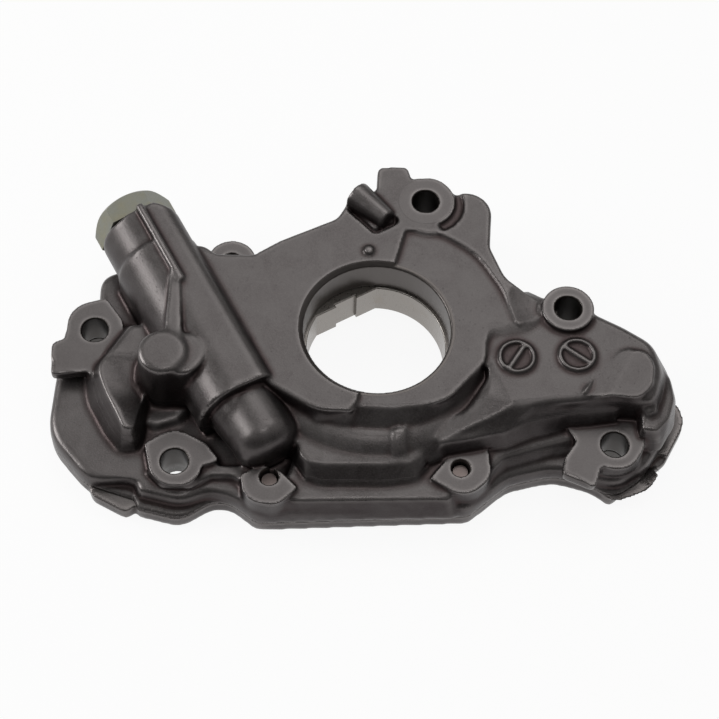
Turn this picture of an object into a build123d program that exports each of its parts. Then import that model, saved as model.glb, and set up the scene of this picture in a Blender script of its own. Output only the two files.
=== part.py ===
from build123d import *
import math
import os

# Crank-driven gerotor oil pump: die-cast housing, rear cover, rotor pair, relief valve.
# Millimetres. Origin on the crank axis in the rear mounting plane, +Z towards the front face.

# Heights above the mounting plane
COVER_T = 5.5
FLANGE_Z = 11.5
PAD_Z = 18.0
CHAMBER_TOP = 18.0
HUMP_Z = 22.5
RIGHT_Z = 29.0
RECESS_Z = 30.0
FACE_Z = 31.0
TAB_T = 4.0
WALL = 4.0

# Crank bore and rotor set
BORE_R = 23.7
BORE_CHAMFER = 1.5
COVER_BORE_R = 26.5
ROTOR_BORE_R = 22.6
DRIVE_FLAT = 19.6
DRIVE_ANGLE = 121.5
CHAMBER_R = 43.0
DRUM_R = 48.5
LIP_R = 36.5
LIP_Z = 25.2
GROOVE_Z = 23.8
ECCENTRIC = 3.0
OUTER_TEETH = 10
TOOTH_CENTRE_R = 39.0
TOOTH_R = 8.5
OUTER_ROOT_R = 36.7
RUN_GAP = 0.05

# Fixings
MOUNT_R = 4.45
SCREW_R = 3.0
SCREW_HEAD_R = 6.0
SCREW_END = 15.2
DOWEL_R = 2.5

MOUNT_LEFT = (-92.0, 2.0)
MOUNT_TOP = (14.6, 49.5)
MOUNT_RIGHT = (61.5, 10.0)
MOUNT_LOW_RIGHT = (77.1, -32.3)
MOUNT_LOW_LEFT = (-62.3, -43.8)
LOW_LEFT_Z = 16.0
SCREWS = [(-49.2, 31.1), (-32.0, -48.8), (28.2, -43.0)]
DOWELS = [(44.0, -37.0), (-46.0, 22.0)]

# Relief valve: axis level in the casting, leaning 30 degrees from the Y axis
RELIEF_START = (-82.6, 43.1, 20.0)
RELIEF_LEAN = 30.0
BARREL_R = 14.4
BARREL_END_R = 13.5
DOME_SHIFT = 2.2
PLUG_FLATS = 24.0
PLUG_HEAD = 7.6
PLUG_R = 10.0
VALVE_R = 8.0
VALVE_END = 82.0
PISTON_LEN = 22.0

POST = (-67.4, -15.0)
POST_R = 8.0
POST_Z = 36.0


def rounded(points):
    """Face inside a polygon whose corners (x, y, radius) are turned into arcs.

    A radius shrinks where its arc would run into the next corner's. The face looks up
    whichever way round the corners are listed.
    """
    count = len(points)
    swept = sum(points[i - 1][0] * points[i][1] - points[i][0] * points[i - 1][1]
                for i in range(count))
    if swept < 0:
        points = points[::-1]
    corners = [Vector(x, y) for x, y, radius in points]
    sides = [corners[(i + 1) % count] - corners[i] for i in range(count)]
    halves = []
    cuts = []
    for i in range(count):
        half = math.radians((sides[i - 1] * -1).get_angle(sides[i])) / 2
        halves.append(half)
        cuts.append(points[i][2] / math.tan(half))
    arcs = []
    for i in range(count):
        room_back = sides[i - 1].length / (cuts[i - 1] + cuts[i])
        room_ahead = sides[i].length / (cuts[i] + cuts[(i + 1) % count])
        shrink = min(1, 0.98 * room_back, 0.98 * room_ahead)
        back = (sides[i - 1] * -1).normalized()
        ahead = sides[i].normalized()
        radius = points[i][2] * shrink
        cut = cuts[i] * shrink
        bisector = (back + ahead).normalized()
        middle = corners[i] + bisector * (radius / math.sin(halves[i]) - radius)
        arcs.append((corners[i] + back * cut, middle, corners[i] + ahead * cut))
    edges = []
    for i, (start, middle, end) in enumerate(arcs):
        edges.append(ThreePointArc(start, middle, end))
        edges.append(Line(end, arcs[(i + 1) % count][0]))
    return make_face(edges)


def prism(points, low, high, taper=0):
    """Rounded outline raised from one height to another, drawn in by the taper."""
    return extrude(Pos(0, 0, low) * rounded(points), high - low, taper=taper)


def frustum(low_points, high_points, low, high):
    """Body between two rounded outlines of equal corner count."""
    base = Pos(0, 0, low) * rounded(low_points)
    top = Pos(0, 0, high) * rounded(high_points)
    return loft([base, top], ruled=True)


def drum(x, y, radius, low, high, top_radius=None):
    """Upright cylinder or cone standing at x, y."""
    top_radius = radius if top_radius is None else top_radius
    if abs(top_radius - radius) < 1e-6:
        shape = Cylinder(radius, high - low)
    else:
        shape = Cone(radius, top_radius, high - low)
    return Pos(x, y, (low + high) / 2) * shape


def soften(solid, edges, radius):
    """Round the given edges, one group at a time, and skip a group that cannot be rounded."""
    for size in (radius, radius * 0.6, radius * 0.3):
        try:
            result = fillet(edges, size)
            if result.is_valid and result.volume > 0:
                return result
        except Exception:
            continue
    return solid


def top_edges(solid):
    """Edges of the highest flat face."""
    return solid.faces().sort_by(Axis.Z)[-1].edges()


# The relief frame has its origin at the plug's head and Z down the valve bore
def relief_frame():
    lean = math.radians(RELIEF_LEAN)
    along = (math.sin(lean), -math.cos(lean), 0)
    across = (math.cos(lean), math.sin(lean), 0)
    return Plane(origin=RELIEF_START, x_dir=across, z_dir=along)


def along_relief(solid):
    return relief_frame().location * solid


def relief_cylinder(radius, start, end, end_radius=None):
    end_radius = radius if end_radius is None else end_radius
    if abs(end_radius - radius) < 1e-6:
        shape = Cylinder(radius, end - start)
    else:
        shape = Cone(radius, end_radius, end - start)
    return along_relief(Pos(0, 0, (start + end) / 2) * shape)


# Outlines seen from the front, corners as (x, y, radius)
FLANGE = [
    (-104.0, -5.0, 4), (-104.8, -33.0, 19), (-91.0, -48.5, 14), (-75.0, -53.2, 1.2),
    (-73.5, -56.6, 1.5), (-59.5, -59.6, 9), (-47.3, -50.8, 9), (-35.5, -59.5, 6),
    (31.5, -54.0, 6), (44.0, -42.6, 12), (59.0, -38.2, 18), (70.0, -41.2, 4),
    (78.0, -45.5, 7), (86.5, -39.0, 8), (94.5, -26.0, 16), (98.8, -10.0, 16),
    (95.5, 3.5, 14), (84.0, 11.5, 14), (73.5, 14.5, 5), (69.5, 20.5, 8.5),
    (50.5, 19.6, 6), (41.5, 28.0, 10), (37.0, 36.5, 8), (37.5, 57.8, 8.5),
    (23.6, 58.5, 3), (9.0, 60.0, 5), (-4.0, 53.5, 4), (-13.0, 51.5, 6),
    (-33.0, 40.5, 12), (-40.5, 34.0, 3), (-44.5, 40.0, 6.5), (-56.5, 38.5, 6.5),
    (-61.5, 28.0, 4), (-76.5, 34.5, 8), (-93.5, 27.5, 6), (-93.0, 14.5, 5),
    (-103.0, 9.5, 8),
]

PLATEAU = [
    (-6.9, -31.2, 1.0), (-18.0, -31.5, 16), (-34.0, -22.2, 3), (-41.0, -14.0, 4),
    (-66.0, 25.0, 4), (-58.5, 29.5, 4), (-53.5, 25.5, 4), (-41.0, 26.0, 2.5),
    (-33.0, 31.7, 12), (-14.5, 41.5, 6), (-11.0, 48.5, 4), (-1.8, 53.5, 3),
    (-1.8, 58.0, 1), (9.5, 58.8, 3), (19.0, 59.6, 7), (24.4, 53.6, 1.2),
    (36.9, 55.2, 8.5), (36.2, 32.5, 6), (41.2, 21.0, 10), (53.0, 11.5, 3),
    (46.0, 3.0, 2), (36.0, 4.0, 1.0), (34.9, -10.8, 1.0), (22.0, -27.0, 14),
    (-4.8, -28.2, 0.6),
]

RECESS = [
    (-12.0, -40.0, 0.5), (46.0, -40.0, 0.5), (46.0, 3.0, 0.5), (44.6, 4.2, 0.5),
    (40.6, 16.0, 25), (32.0, 29.5, 25), (19.0, 37.8, 20), (8.2, 37.8, 1.2),
    (5.4, 25.7, 0.5), (-5.4, -27.4, 0.5),
]

GROOVE = [
    (34.0, -9.0, 1.0), (36.6, -14.0, 6), (30.5, -25.5, 12), (20.0, -32.5, 12),
    (8.0, -36.0, 20), (-25.0, -30.0, 5), (0.0, 0.0, 2),
]

RIGHT_FLANK = [
    (5.0, -48.0, 4), (46.0, -36.0, 8), (72.0, -31.0, 8), (94.0, -31.0, 16),
    (98.8, -10.0, 18), (95.0, 4.0, 16), (83.0, 11.5, 14), (70.0, 18.0, 5),
    (44.0, 22.0, 4), (20.0, -4.0, 3),
]

RIGHT_STEEP = [
    (17.0, -40.0, 4), (46.0, -27.0, 10), (72.0, -23.2, 8), (93.5, -23.5, 14),
    (99.0, -9.0, 12), (96.0, 4.5, 12), (72.0, 18.0, 5), (20.0, 22.0, 3),
]

END_LOBE = [
    (78.6, -4.4, 3), (68.4, -21.4, 3), (84.2, -22.6, 6), (89.0, -17.0, 6),
    (89.8, -8.6, 8), (86.0, -2.8, 5),
]

RIGHT_RIM = [
    (30.0, -36.0, 2), (38.5, -38.8, 3), (50.2, -34.9, 14), (62.0, -30.4, 3),
    (64.0, -22.0, 2), (36.0, -26.0, 2),
]

LEFT_LOW = [
    (-83.5, 8.0, 4), (-95.2, -12.0, 6), (-93.0, -22.0, 9), (-86.2, -33.5, 9),
    (-80.6, -39.8, 3), (-73.5, -39.5, 4), (-71.5, -26.0, 8), (-68.5, -13.0, 8),
    (-60.0, -2.0, 6), (-62.0, 6.0, 4),
]

LEFT_HIGH = [
    (-80.0, 2.0, 3), (-89.0, -14.5, 6), (-84.2, -24.4, 9), (-80.6, -31.2, 7),
    (-78.8, -35.4, 1.5), (-75.8, -35.0, 1.5), (-75.6, -25.0, 8), (-73.0, -14.0, 8),
    (-65.0, -5.0, 6), (-66.0, 2.0, 4),
]

LUG_LEFT = [
    (-89.5, 14.5, 2), (-101.0, 10.5, 8.5), (-101.2, -1.6, 2.5), (-105.4, -3.6, 2.5),
    (-104.6, -15.6, 1.5), (-92.5, -13.6, 2), (-91.6, -16.0, 1), (-88.6, -6.6, 4),
    (-82.6, -2.0, 5), (-83.0, 6.0, 6),
]

LUG_LOW_RIGHT = [
    (61.8, -26.4, 1), (82.0, -20.0, 2), (84.5, -25.2, 3), (87.6, -31.5, 7),
    (82.0, -41.0, 6.5), (72.6, -40.4, 1.5), (70.6, -47.9, 1.2), (60.2, -43.6, 1.2),
    (60.6, -38.6, 2), (65.0, -31.5, 2),
]

PAD_LOW_LEFT = [
    (-72.3, -37.8, 1.5), (-63.5, -31.6, 8), (-53.0, -36.5, 6), (-48.0, -42.8, 1.2),
    (-53.5, -45.0, 2), (-54.5, -51.8, 7), (-68.5, -52.8, 8.5),
]

SCREW_PAD_LEFT = [
    (-41.3, -48.6, 1.0), (-32.5, -42.6, 9), (-22.6, -52.2, 1.0), (-28.5, -59.2, 7),
    (-39.5, -57.6, 7),
]

SCREW_PAD_RIGHT = [
    (18.3, -47.2, 1.0), (24.6, -38.2, 5), (36.8, -34.4, 1.0), (38.4, -46.0, 8),
    (30.0, -54.0, 8),
]

TOP_TAB = [
    (-1.9, 54.0, 0.8), (-1.8, 62.8, 2.5), (8.3, 63.3, 2.2), (10.8, 55.0, 0.8),
]


def drum_shell(extra=0.0):
    """Rotor drum turned from its half section: upright wall, round shoulder, lip and groove."""
    wall = DRUM_R + extra
    lip = LIP_Z + extra
    section = make_face([
        Line((0, COVER_T), (wall, COVER_T)),
        Line((wall, COVER_T), (wall, 13.0)),
        ThreePointArc((wall, 13.0), (wall - 3.2, 20.6), (LIP_R + 1.5, lip)),
        Line((LIP_R + 1.5, lip), (LIP_R, lip)),
        Line((LIP_R, lip), (LIP_R - 1.5, GROOVE_Z)),
        Line((LIP_R - 1.5, GROOVE_Z), (0, GROOVE_Z)),
        Line((0, GROOVE_Z), (0, COVER_T)),
    ])
    return Pos(0, ECCENTRIC / 2, 0) * revolve(Plane.XZ * section, Axis.Z)


def casting_base():
    """Flange with its rounded rim, the rotor drum with its front rib, and the raised rim."""
    flange = prism(FLANGE, COVER_T, FLANGE_Z, taper=4)
    flange = soften(flange, top_edges(flange), 2.5)
    rib = drum_shell(1.1) & (Pos(8.4, -38.4, 18.0) * Rot(0, 0, 3) * Box(4.2, 13.6, 30.0))
    rim = prism(RIGHT_RIM, COVER_T, 16.5, taper=3)
    rim = soften(rim, top_edges(rim), 1.5)
    return flange + drum_shell() + rib + rim


def casting_galleries():
    """Outlet hump on the left and inlet hump on the right, with their sloping flanks."""
    right = prism(RIGHT_FLANK, FLANGE_Z - 1, RIGHT_Z, taper=22)
    right = right & prism(RIGHT_STEEP, FLANGE_Z - 1, RIGHT_Z, taper=4)
    right = soften(right, top_edges(right), 2.5)
    right -= Plane(origin=(41, -19, RIGHT_Z), z_dir=(-0.18, -0.08, 1)).location * (
        Pos(0, 0, 10) * Box(150, 150, 20))
    right -= prism(GROOVE, GROOVE_Z, RIGHT_Z + 2)
    lobe = prism(END_LOBE, RIGHT_Z - 4, RIGHT_Z + 2.0, taper=10)
    lobe = soften(lobe, top_edges(lobe), 1.2)
    left = frustum(LEFT_LOW, LEFT_HIGH, FLANGE_Z - 1, HUMP_Z)
    left = soften(left, top_edges(left), 2.0)
    return right + lobe + left


def casting_face():
    """Flat front face round the bore, its shallow recess and the V notch of the oil jet."""
    plate = prism(PLATEAU, PAD_Z - 1, FACE_Z)
    plate = soften(plate, top_edges(plate), 0.8)
    plate -= prism(RECESS, RECESS_Z, FACE_Z + 1)
    crescent = drum(MOUNT_TOP[0] + 1.5, MOUNT_TOP[1] - 0.9, 11.4, FACE_Z - 1.3, FACE_Z + 1)
    plate -= crescent - drum(*MOUNT_TOP, 9.8, FACE_Z - 4, FACE_Z + 2)
    notch = [(-11.4, 47.0, 1), (-10.2, 44.9, 1), (-1.8, 36.6, 1.0), (5.6, 41.4, 1.0),
             (1.5, 45.0, 1), (-5.0, 51.0, 1)]
    plate -= prism(notch, FACE_Z - 2.4, FACE_Z + 1, taper=-20)
    jet_axis = Plane(origin=(-6.9, 48.9, 31.0), z_dir=(8.5, -7.9, 0.3))
    jet = jet_axis.location * (Pos(0, 0, 5.8) * Cone(3.7, 3.1, 11.6))
    jet += jet_axis.location * Sphere(3.7)
    jet -= jet_axis.location * (Pos(0, 0, 11.6) * Cylinder(0.45, 5.0))
    jet_wall = prism([(-11.5, 50.0, 2), (-9.5, 46.0, 2), (-2.0, 47.5, 2), (-4.0, 54.0, 3)],
                     FLANGE_Z, 30.5)
    nub = drum(-3.6, 28.7, 1.9, FACE_Z - 1, FACE_Z + 1.3, 1.5)
    return plate + jet + jet_wall + nub


def casting_pads():
    """Five mounting pads with their tabs and the three screw pads."""
    pads = prism(LUG_LEFT, PAD_Z - TAB_T, PAD_Z)
    pads += drum(*MOUNT_LEFT, 9.5, COVER_T, PAD_Z, 8.8)
    pads += prism(LUG_LOW_RIGHT, PAD_Z - TAB_T, PAD_Z)
    pads += drum(*MOUNT_LOW_RIGHT, 9.6, COVER_T, PAD_Z, 8.6)
    pads += prism(PAD_LOW_LEFT, 0, LOW_LEFT_Z)
    pads += drum(*MOUNT_LOW_LEFT, 11.0, 0, LOW_LEFT_Z - 6, 8.5)
    pads += drum(*MOUNT_RIGHT, 9.4, COVER_T, FACE_Z, 8.4)
    pads += drum(*MOUNT_TOP, 9.8, COVER_T, FACE_Z, 9.4)
    pads += prism(TOP_TAB, FACE_Z - TAB_T, FACE_Z)
    pads += prism(SCREW_PAD_LEFT, COVER_T, PAD_Z, taper=1)
    pads += prism(SCREW_PAD_RIGHT, COVER_T, PAD_Z, taper=1)
    pads += drum(*SCREWS[0], 8.4, COVER_T, PAD_Z, 8.0)
    return pads


def casting_barrel():
    """Relief barrel with its square shoulder, domed end, parting rib and the two posts."""
    barrel = relief_cylinder(BARREL_R, 18, 80)
    barrel += relief_cylinder(BARREL_END_R, PLUG_HEAD / 2, 18)
    shoulder = Box(12.0, 11.4, 76.0)
    corner = shoulder.edges().filter_by(Axis.Z).sort_by(lambda e: e.center().X + e.center().Y)
    shoulder = Pos(6.0, 8.6, 42.0) * soften(shoulder, corner[-1:], 5.0)
    shoulder -= Pos(12.5, 9.0, 4.0) * Rot(0, 45, 0) * Box(9, 12, 9)
    barrel += along_relief(shoulder)
    barrel += along_relief(Pos(-1.1, -7.2, 40.0) * Box(26.0, 14.4, 46.0))
    dome = relief_cylinder(10.9, 76, 100.5)
    dome = soften(dome, dome.faces().sort_by(Axis.Y)[0].edges(), 7.0)
    dome = Pos(DOME_SHIFT * math.cos(math.radians(RELIEF_LEAN)),
               DOME_SHIFT * math.sin(math.radians(RELIEF_LEAN)), 0) * dome
    foot = relief_cylinder(12.6, 70, 90, 9.0)
    rib = along_relief(Pos(1.0, BARREL_R + 0.1, 20.0) * Box(2.4, 2.6, 33.0))
    rib += prism([(-67.3, 15.6, 0.3), (-64.5, 15.6, 0.3), (-61.5, -10.0, 0.3),
                  (-67.5, -10.0, 0.3)], 26, 35.2)
    post = drum(*POST, POST_R + 0.8, FLANGE_Z - 1, POST_Z, POST_R)
    post = soften(post, top_edges(post), 1.8)
    partner = drum(-61.3, -12.0, 9.0, FLANGE_Z - 1, 33.0, 7.6)
    partner = soften(partner, top_edges(partner), 1.5)
    return barrel + dome + foot + rib + post + partner


def casting_details():
    """Date rings, each with its pointer bar."""
    marks = []
    for x, y, lean in ((45.0, -8.2, 60), (64.3, -6.6, -35)):
        ring = drum(x, y, 6.0, RIGHT_Z - 1, RIGHT_Z + 1.3) - drum(x, y, 4.9, RIGHT_Z, RIGHT_Z + 2)
        bar = Pos(x, y, RIGHT_Z + 0.4) * Rot(0, 0, lean) * Box(10.0, 1.5, 1.4)
        marks.append(ring + bar)
    return marks


def kidney(inner, outer, start, sweep, low, high):
    """Annular sector round the rotor axis."""
    ring = drum(0, ECCENTRIC / 2, outer, low, high) - drum(0, ECCENTRIC / 2, inner, low, high)
    reach = outer * 2
    half = math.radians(sweep / 2)
    middle = math.radians(start + sweep / 2)
    corners = [(0, 0)]
    for step in (-1, -0.5, 0, 0.5, 1):
        angle = middle + step * half
        corners.append((reach * math.cos(angle), reach * math.sin(angle)))
    wedge = extrude(Pos(0, 0, low) * make_face(Polyline(*corners, close=True)), high - low)
    return ring & wedge


def casting_hollows():
    """Rotor chamber, crank bore, port kidneys, galleries and ducts, open to the rear."""
    hollows = drum(0, ECCENTRIC, CHAMBER_R, COVER_T - 1, CHAMBER_TOP)
    hollows += drum(0, 0, BORE_R, CHAMBER_TOP - 1, FACE_Z + 1)
    cut = FACE_Z - BORE_CHAMFER
    hollows += drum(0, 0, BORE_R - 1, cut - 1, FACE_Z + 1, BORE_R + BORE_CHAMFER + 1)
    hollows += kidney(28.0, 37.5, -62, 124, CHAMBER_TOP - 1, CHAMBER_TOP + 2.6)
    hollows += kidney(28.0, 37.5, 118, 124, CHAMBER_TOP - 1, CHAMBER_TOP + 2.6)
    hollows += prism([(30, -10, 3), (54, -14, 3), (54, -1, 3), (30, 4, 3)],
                     COVER_T - 1, CHAMBER_TOP + 5)
    hollows += prism([(50, -20, 5), (86, -18.5, 6), (90, -8, 6), (84, -2, 5), (50, 0, 5)],
                     COVER_T - 1, RIGHT_Z - WALL)
    hollows += prism([(-36, -10, 2), (-36, 4, 2), (-80, 2, 3), (-80, -10, 3)],
                     COVER_T - 1, FLANGE_Z - 0.6)
    hollows += prism([(-82, 0, 4), (-88.0, -13, 4), (-87, -22, 5), (-81, -31.5, 4),
                      (-76.5, -30, 3), (-76, 0, 4)], COVER_T - 1, PAD_Z - 1.5)
    return hollows


def relief_bore():
    """Plug seat, valve bore, its feed from the outlet duct and its return to the rear."""
    bore = relief_cylinder(PLUG_R, 0, 19)
    bore += relief_cylinder(PLUG_R + 1.2, 0, PLUG_HEAD / 2 + 1.2, PLUG_R)
    bore += relief_cylinder(VALVE_R, 18, VALVE_END)
    feed = relief_frame().from_local_coords((0, 0, VALVE_END - 3.5))
    bore += drum(feed.X, feed.Y, 3.0, COVER_T - 1, RELIEF_START[2])
    bore += prism([(-36, -26, 1), (-36, -4, 1), (-43, -4, 1), (-43, -26, 1)],
                  COVER_T - 1, FLANGE_Z - 1)
    back = relief_frame().from_local_coords((0, 0, 50))
    bore += drum(back.X, back.Y, 3.5, COVER_T - 1, RELIEF_START[2])
    return bore


def mounting_holes():
    holes = drum(*MOUNT_LEFT, MOUNT_R, -1, PAD_Z + 20)
    for place in (MOUNT_TOP, MOUNT_RIGHT, MOUNT_LOW_RIGHT, MOUNT_LOW_LEFT):
        holes += drum(*place, MOUNT_R, -1, FACE_Z + 20)
    return holes


def pump_body():
    """Complete die-cast housing."""
    body = casting_base() + casting_galleries() + casting_face()
    body += casting_pads() + casting_barrel()
    for mark in casting_details():
        body += mark
    body -= casting_hollows()
    body -= relief_bore()
    body -= mounting_holes()
    for x, y in SCREWS:
        body -= drum(x, y, SCREW_R + RUN_GAP, COVER_T - 1, PAD_Z + 1)
    for x, y in DOWELS:
        body -= drum(x, y, DOWEL_R, COVER_T - 1, COVER_T + 4.5)
    return body


def rear_cover():
    """Flat cover with the crank bore, two ports, rotor kidneys and countersunk screw holes."""
    plate = prism(FLANGE, 0, COVER_T)
    plate += prism([(-92.0, -44.0, 3), (-88.5, -52.0, 5), (-76.0, -58.2, 3), (-73.0, -50.0, 2)],
                   0, COVER_T)
    plate += prism([(70.0, -38.0, 4), (77.0, -47.3, 6), (90.0, -41.5, 9), (103.0, -15.0, 12),
                    (96.0, -4.0, 6)], 0, COVER_T)
    plate -= prism([(85.2, -41.0, 1.4), (89.8, -39.5, 1.8), (96.6, -29.5, 1.8),
                    (92.9, -27.8, 1.8)], COVER_T - 1.6, COVER_T + 1)
    notch = [(x, y, radius) for x, y, radius in PAD_LOW_LEFT]
    clear = Pos(0, 0, -1) * offset(rounded(notch), 0.3)
    plate -= extrude(clear, COVER_T + 2)
    plate -= drum(*MOUNT_LOW_LEFT, 11.3, -1, COVER_T + 1)
    plate -= drum(0, 0, COVER_BORE_R, -1, COVER_T + 1)
    plate -= kidney(28.8, 37.0, -58, 116, COVER_T - 2.5, COVER_T + 1)
    plate -= kidney(28.8, 37.0, 122, 116, COVER_T - 2.5, COVER_T + 1)
    plate -= prism([(58, -17, 6), (84, -16, 6), (84, -3, 6), (58, -3, 6)], -1, COVER_T + 1)
    plate -= prism([(-88, -8, 3), (-88, -24, 5), (-76, -28, 5), (-76, -8, 3)], -1, COVER_T + 1)
    for x, y in SCREWS:
        plate -= drum(x, y, SCREW_R + RUN_GAP, -1, COVER_T + 1)
        plate -= drum(x, y, SCREW_HEAD_R + 0.3, -0.01, 3.3, SCREW_R + 0.3)
    for x, y in DOWELS:
        plate -= drum(x, y, DOWEL_R, 1.0, COVER_T + 1)
    for place in (MOUNT_LEFT, MOUNT_TOP, MOUNT_RIGHT, MOUNT_LOW_RIGHT):
        plate -= drum(*place, MOUNT_R, -1, COVER_T + 1)
    return plate


def inner_lobe(gap, steps=16):
    """Root-to-root points of one lobe of the trochoid that rolls inside the outer teeth."""
    ratio = TOOTH_CENTRE_R / (ECCENTRIC * OUTER_TEETH)
    tooth = TOOTH_R + gap
    points = []
    for i in range(steps + 1):
        t = 2 * math.pi / (OUTER_TEETH - 1) * i / steps
        turn = (1 - OUTER_TEETH) * t
        psi = math.atan2(math.sin(turn), ratio - math.cos(turn))
        x = TOOTH_CENTRE_R * math.cos(t) - tooth * math.cos(t + psi)
        y = -TOOTH_CENTRE_R * math.sin(t) + tooth * math.sin(t + psi)
        x -= ECCENTRIC * math.cos(OUTER_TEETH * t)
        y += ECCENTRIC * math.sin(OUTER_TEETH * t)
        points.append((x, y))
    return points


def drive_rotor():
    """Inner rotor: nine lobes, crank bore with two relieved drive flats."""
    low = COVER_T + RUN_GAP
    height = CHAMBER_TOP - COVER_T - 2 * RUN_GAP
    points = inner_lobe(RUN_GAP)
    ends = [Vector(0, -1), Vector(points[-1][1], -points[-1][0])]
    lobe = Spline(*points, tangents=ends)
    pitch = 360 / (OUTER_TEETH - 1)
    profile = make_face([Rot(0, 0, pitch * i) * lobe for i in range(OUTER_TEETH - 1)])
    rotor = extrude(Pos(0, 0, low) * Rot(0, 0, -90) * profile, height)
    bore = drum(0, 0, ROTOR_BORE_R, 0, CHAMBER_TOP + 2)
    for side in (0, 180):
        turn = Rot(0, 0, DRIVE_ANGLE + side)
        bore -= turn * (Pos(DRIVE_FLAT + 5, 0, 10) * Box(10, 60, 30))
        bore += turn * (Pos(DRIVE_FLAT + 0.2, 0, 10) * Box(1.6, 7.7, 30))
    rotor -= bore
    top = [e for e in rotor.faces().sort_by(Axis.Z)[-1].inner_wires()[0].edges()]
    return soften(rotor, top, 0.4)


def driven_rotor():
    """Outer rotor: ten round teeth inside a plain ring."""
    low = COVER_T + RUN_GAP
    high = CHAMBER_TOP - RUN_GAP
    rim = CHAMBER_R - RUN_GAP
    ring = drum(0, ECCENTRIC, rim, low, high) - drum(0, ECCENTRIC, OUTER_ROOT_R, low, high)
    band = drum(0, ECCENTRIC, rim, low, high)
    for i in range(OUTER_TEETH):
        angle = math.radians(90 + 360 / OUTER_TEETH * i)
        x = TOOTH_CENTRE_R * math.cos(angle)
        y = ECCENTRIC + TOOTH_CENTRE_R * math.sin(angle)
        ring += drum(x, y, TOOTH_R, low, high) & band
    return ring


def relief_plug():
    """Hexagon plug with a hollow shank that seats the spring."""
    head = extrude(RegularPolygon(PLUG_FLATS / 2, 6, major_radius=False, rotation=8), PLUG_HEAD)
    head = Pos(0, 0, -PLUG_HEAD / 2 - 0.2) * head
    crown = Pos(0, 0, -PLUG_HEAD / 2 + 2.4) * Cone(11.9, 17.1, 5.2)
    head = head & (crown + Pos(0, 0, 6.2) * Cylinder(17.1, 10.0))
    shank = Pos(0, 0, 10.4) * Cylinder(PLUG_R - RUN_GAP, 14.0)
    shank -= Pos(0, 0, 15.1) * Cylinder(6.4, 5.0)
    groove = Pos(0, 0, 4.1) * (Cylinder(PLUG_R + 1, 1.4) - Cylinder(PLUG_R - 1.2, 1.4))
    return along_relief(head + shank - groove)


def plug_o_ring():
    return along_relief(Pos(0, 0, 4.1) * Torus(PLUG_R - 0.5, 0.62))


def relief_piston():
    """Cup piston, closed end towards the pressure feed."""
    start = VALVE_END - 6 - PISTON_LEN
    cup = Pos(0, 0, start + PISTON_LEN / 2) * Cylinder(VALVE_R - RUN_GAP, PISTON_LEN)
    cup -= Pos(0, 0, start + 8.5) * Cylinder(6.3, 17.1)
    for place in (5.0, 9.0, 13.0):
        ring = Cylinder(VALVE_R + 1, 0.9) - Cylinder(VALVE_R - 0.5, 0.9)
        cup -= Pos(0, 0, start + PISTON_LEN - place) * ring
    return along_relief(cup)


def relief_spring():
    """Compression spring from the plug's seat to the piston's floor."""
    wire = 0.8
    start = 12.7 + wire
    end = VALVE_END - 6 - PISTON_LEN + 17.0 - wire
    coils = 11
    path = Helix((end - start) / coils, end - start, 5.1)
    section = Plane(origin=path @ 0, z_dir=path % 0) * Circle(wire, align=Align.CENTER)
    return along_relief(Pos(0, 0, start) * sweep(section, path=path))


def cover_screws():
    """Three countersunk cross-recess screws, heads level with the rear face."""
    screws = []
    for x, y in SCREWS:
        screw = drum(x, y, SCREW_R, 2, SCREW_END - 1)
        screw += drum(x, y, SCREW_R, SCREW_END - 1, SCREW_END, SCREW_R - 0.6)
        screw += drum(x, y, SCREW_HEAD_R, 0.1, 3.2, SCREW_R)
        for turn in (0, 90):
            screw -= Pos(x, y, 0.9) * Rot(0, 0, turn + 20) * Box(6.2, 1.2, 2.6)
        screws.append(screw)
    return Compound(children=screws)


def cover_dowels():
    """Two locating pins between the cover and the body."""
    pins = []
    for x, y in DOWELS:
        pins.append(drum(x, y, DOWEL_R - 0.02, 1.3, COVER_T + 4.2))
    return Compound(children=pins)


PARTS = {
    "pump_body": pump_body,
    "rear_cover": rear_cover,
    "drive_rotor": drive_rotor,
    "driven_rotor": driven_rotor,
    "relief_plug": relief_plug,
    "plug_o_ring": plug_o_ring,
    "relief_piston": relief_piston,
    "relief_spring": relief_spring,
    "cover_screws": cover_screws,
    "cover_dowels": cover_dowels,
}

os.makedirs("parts", exist_ok=True)
for name, make in PARTS.items():
    export_step(make(), f"parts/{name}.step")
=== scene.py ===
import math

import bpy
import numpy as np
from mathutils import Matrix, Vector
from mathutils.bvhtree import BVHTree


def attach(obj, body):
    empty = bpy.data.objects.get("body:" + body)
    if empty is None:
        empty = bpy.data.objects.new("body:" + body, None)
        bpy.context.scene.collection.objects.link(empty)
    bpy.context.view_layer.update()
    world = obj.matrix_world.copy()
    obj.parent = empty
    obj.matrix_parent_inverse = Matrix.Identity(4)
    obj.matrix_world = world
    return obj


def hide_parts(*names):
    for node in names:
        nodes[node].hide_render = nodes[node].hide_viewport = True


MM = 0.001

# Places in the pump's own frame, in millimetres, as the CAD source has them.
BORE_RADIUS = 23.7
CHAMBER_RADIUS = 43.0
FACE_Z = 31.0
PAD_Z = 18.0
LOW_PAD_Z = 16.0
MOUNT_LEFT = (-92.0, 2.0, PAD_Z)
MOUNT_TOP = (14.6, 49.5, FACE_Z)
MOUNT_RIGHT = (61.5, 10.0, FACE_Z)
MOUNT_LOW_RIGHT = (77.1, -32.3, PAD_Z)
MOUNT_LOW_LEFT = (-62.3, -43.8, LOW_PAD_Z)
MOUNTS = [MOUNT_LEFT, MOUNT_TOP, MOUNT_RIGHT, MOUNT_LOW_RIGHT, MOUNT_LOW_LEFT]
SCREWS = [(-49.2, 31.1), (-32.0, -48.8), (28.2, -43.0)]
STAMPS = [(45.0, -8.2), (64.3, -6.6)]
NUB = (-3.6, 28.7)
JET = (-2.5, 44.5)
POST = (-67.4, -15.0)
RELIEF_START = np.array((-82.6, 43.1, 20.0))
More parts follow.
